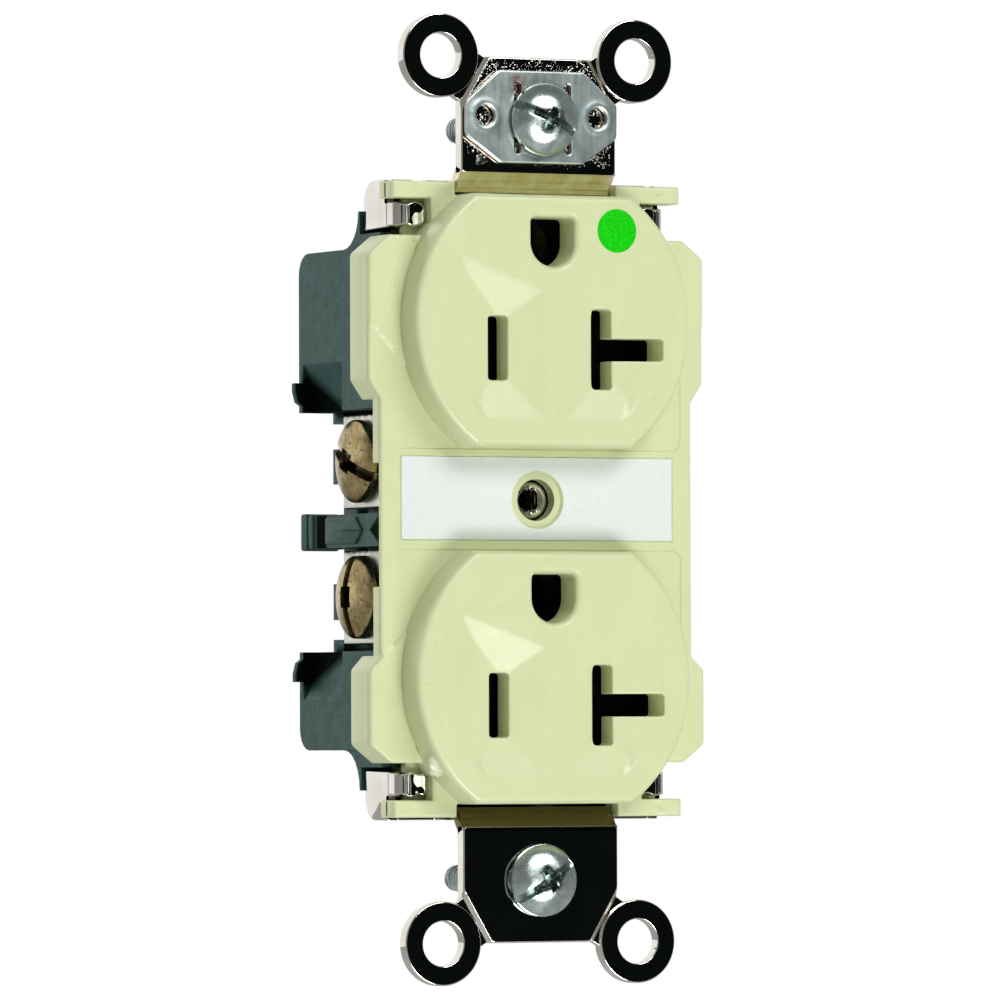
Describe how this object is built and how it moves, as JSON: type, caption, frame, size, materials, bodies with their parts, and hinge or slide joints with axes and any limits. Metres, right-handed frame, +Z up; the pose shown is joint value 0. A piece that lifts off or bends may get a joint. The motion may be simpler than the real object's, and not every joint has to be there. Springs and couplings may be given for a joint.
{
  "type": "duplex wall outlet",
  "caption": "Duplex wall outlet with T-slot and ground sockets, captive mounting screws and side wire terminals on a steel strap.",
  "frame": {"origin": "on the axis of the cover-plate screw, midway between the two mounting holes, in the plane where the mounting ears rest on the wall", "axes": "+X right seen from the room, +Y into the wall box, +Z up with the ground sockets above the blade slots; the face looks along -Y"},
  "size_m": [0.041, 0.0291, 0.1062],
  "materials": {
    "ivory_plastic": "moulded ivory thermoplastic, satin gloss",
    "black_plastic": "fine textured black thermoplastic",
    "nickel_strap": "bright nickel-plated steel",
    "zinc_clip": "dull zinc-plated steel, rolled surface",
    "zinc_screw": "zinc-plated steel with turning marks",
    "zinc_plate": "bright zinc-plated steel",
    "contact_brass": "stamped brass strip",
    "screw_brass": "brass screw with dark patina",
    "screw_silver": "nickel-plated brass screw",
    "green_steel": "green-dyed plated steel",
    "fibre": "red vulcanised fibre",
    "label_paper": "plain white label",
    "green_ink": "printed green dot"
  },
  "bodies": {
    "root": {"face": "ivory_plastic", "label": "label_paper", "grade_dot": "green_ink", "rear_body": "black_plastic", "mounting_strap": "nickel_strap", "plate_screw_bushing": "nickel_strap", "ground_clip": "zinc_clip", "hot_contact": "contact_brass", "neutral_contact": "contact_brass", "ground_contact_upper": "contact_brass", "ground_contact_lower": "contact_brass", "ground_rivet_upper": "zinc_screw", "ground_rivet_lower": "zinc_screw", "assembly_screw_upper_left": "zinc_screw", "assembly_screw_upper_right": "zinc_screw", "assembly_screw_lower_left": "zinc_screw", "assembly_screw_lower_right": "zinc_screw"},
    "retainer_upper": {"screw_retainer_upper": "fibre"},
    "mounting_upper": {"mounting_screw_upper": "zinc_screw"},
    "retainer_lower": {"screw_retainer_lower": "fibre"},
    "mounting_lower": {"mounting_screw_lower": "zinc_screw"},
    "plate_hot_upper": {"pressure_plate_hot_upper": "zinc_plate"},
    "screw_hot_upper": {"terminal_screw_hot_upper": "screw_brass"},
    "plate_hot_lower": {"pressure_plate_hot_lower": "zinc_plate"},
    "screw_hot_lower": {"terminal_screw_hot_lower": "screw_brass"},
    "plate_neutral_upper": {"pressure_plate_neutral_upper": "zinc_plate"},
    "screw_neutral_upper": {"terminal_screw_neutral_upper": "screw_silver"},
    "plate_neutral_lower": {"pressure_plate_neutral_lower": "zinc_plate"},
    "screw_neutral_lower": {"terminal_screw_neutral_lower": "screw_silver"},
    "clamp_ground": {"ground_clamp": "zinc_plate"},
    "screw_ground": {"ground_screw": "green_steel"}
  },
  "joints": [
    {"name": "mounting_upper_draw", "type": "slide", "parent": "root", "child": "retainer_upper", "axis": [0, -1, 0], "range_m": [0, 0.0026]},
    {"name": "mounting_upper_turn", "type": "hinge", "parent": "retainer_upper", "child": "mounting_upper", "pos_m": [0, 0, 0.04167], "axis": [0, -1, 0], "continuous": true},
    {"name": "mounting_lower_draw", "type": "slide", "parent": "root", "child": "retainer_lower", "axis": [0, -1, 0], "range_m": [0, 0.0026]},
    {"name": "mounting_lower_turn", "type": "hinge", "parent": "retainer_lower", "child": "mounting_lower", "pos_m": [0, 0, -0.04167], "axis": [0, -1, 0], "continuous": true},
    {"name": "plate_hot_upper_lift", "type": "slide", "parent": "root", "child": "plate_hot_upper", "axis": [-1, 0, 0], "range_m": [0, 0.00238]},
    {"name": "screw_hot_upper_turn", "type": "hinge", "parent": "plate_hot_upper", "child": "screw_hot_upper", "pos_m": [-0.0145, 0.0141, 0.0045], "axis": [-1, 0, 0], "range_deg": [0, 1080]},
    {"name": "plate_hot_lower_lift", "type": "slide", "parent": "root", "child": "plate_hot_lower", "axis": [-1, 0, 0], "range_m": [0, 0.00238]},
    {"name": "screw_hot_lower_turn", "type": "hinge", "parent": "plate_hot_lower", "child": "screw_hot_lower", "pos_m": [-0.0145, 0.0141, -0.0105], "axis": [-1, 0, 0], "range_deg": [0, 1080]},
    {"name": "plate_neutral_upper_lift", "type": "slide", "parent": "root", "child": "plate_neutral_upper", "axis": [1, 0, 0], "range_m": [0, 0.00238]},
    {"name": "screw_neutral_upper_turn", "type": "hinge", "parent": "plate_neutral_upper", "child": "screw_neutral_upper", "pos_m": [0.0145, 0.0141, 0.0045], "axis": [1, 0, 0], "range_deg": [0, 1080]},
    {"name": "plate_neutral_lower_lift", "type": "slide", "parent": "root", "child": "plate_neutral_lower", "axis": [1, 0, 0], "range_m": [0, 0.00238]},
    {"name": "screw_neutral_lower_turn", "type": "hinge", "parent": "plate_neutral_lower", "child": "screw_neutral_lower", "pos_m": [0.0145, 0.0141, -0.0105], "axis": [1, 0, 0], "range_deg": [0, 1080]},
    {"name": "clamp_ground_lift", "type": "slide", "parent": "root", "child": "clamp_ground", "axis": [1, 0, 0], "range_m": [0, 0.00238]},
    {"name": "screw_ground_turn", "type": "hinge", "parent": "clamp_ground", "child": "screw_ground", "pos_m": [0.0181, 0.0132, 0.031], "axis": [1, 0, 0], "range_deg": [0, 1080]}
  ],
  "couplings": [
    {"joint": "screw_hot_upper_turn", "follows": "plate_hot_upper_lift", "rad_per_m": 7915.8},
    {"joint": "screw_hot_lower_turn", "follows": "plate_hot_lower_lift", "rad_per_m": 7915.8},
    {"joint": "screw_neutral_upper_turn", "follows": "plate_neutral_upper_lift", "rad_per_m": 7915.8},
    {"joint": "screw_neutral_lower_turn", "follows": "plate_neutral_lower_lift", "rad_per_m": 7915.8},
    {"joint": "screw_ground_turn", "follows": "clamp_ground_lift", "rad_per_m": 7915.8}
  ]
}
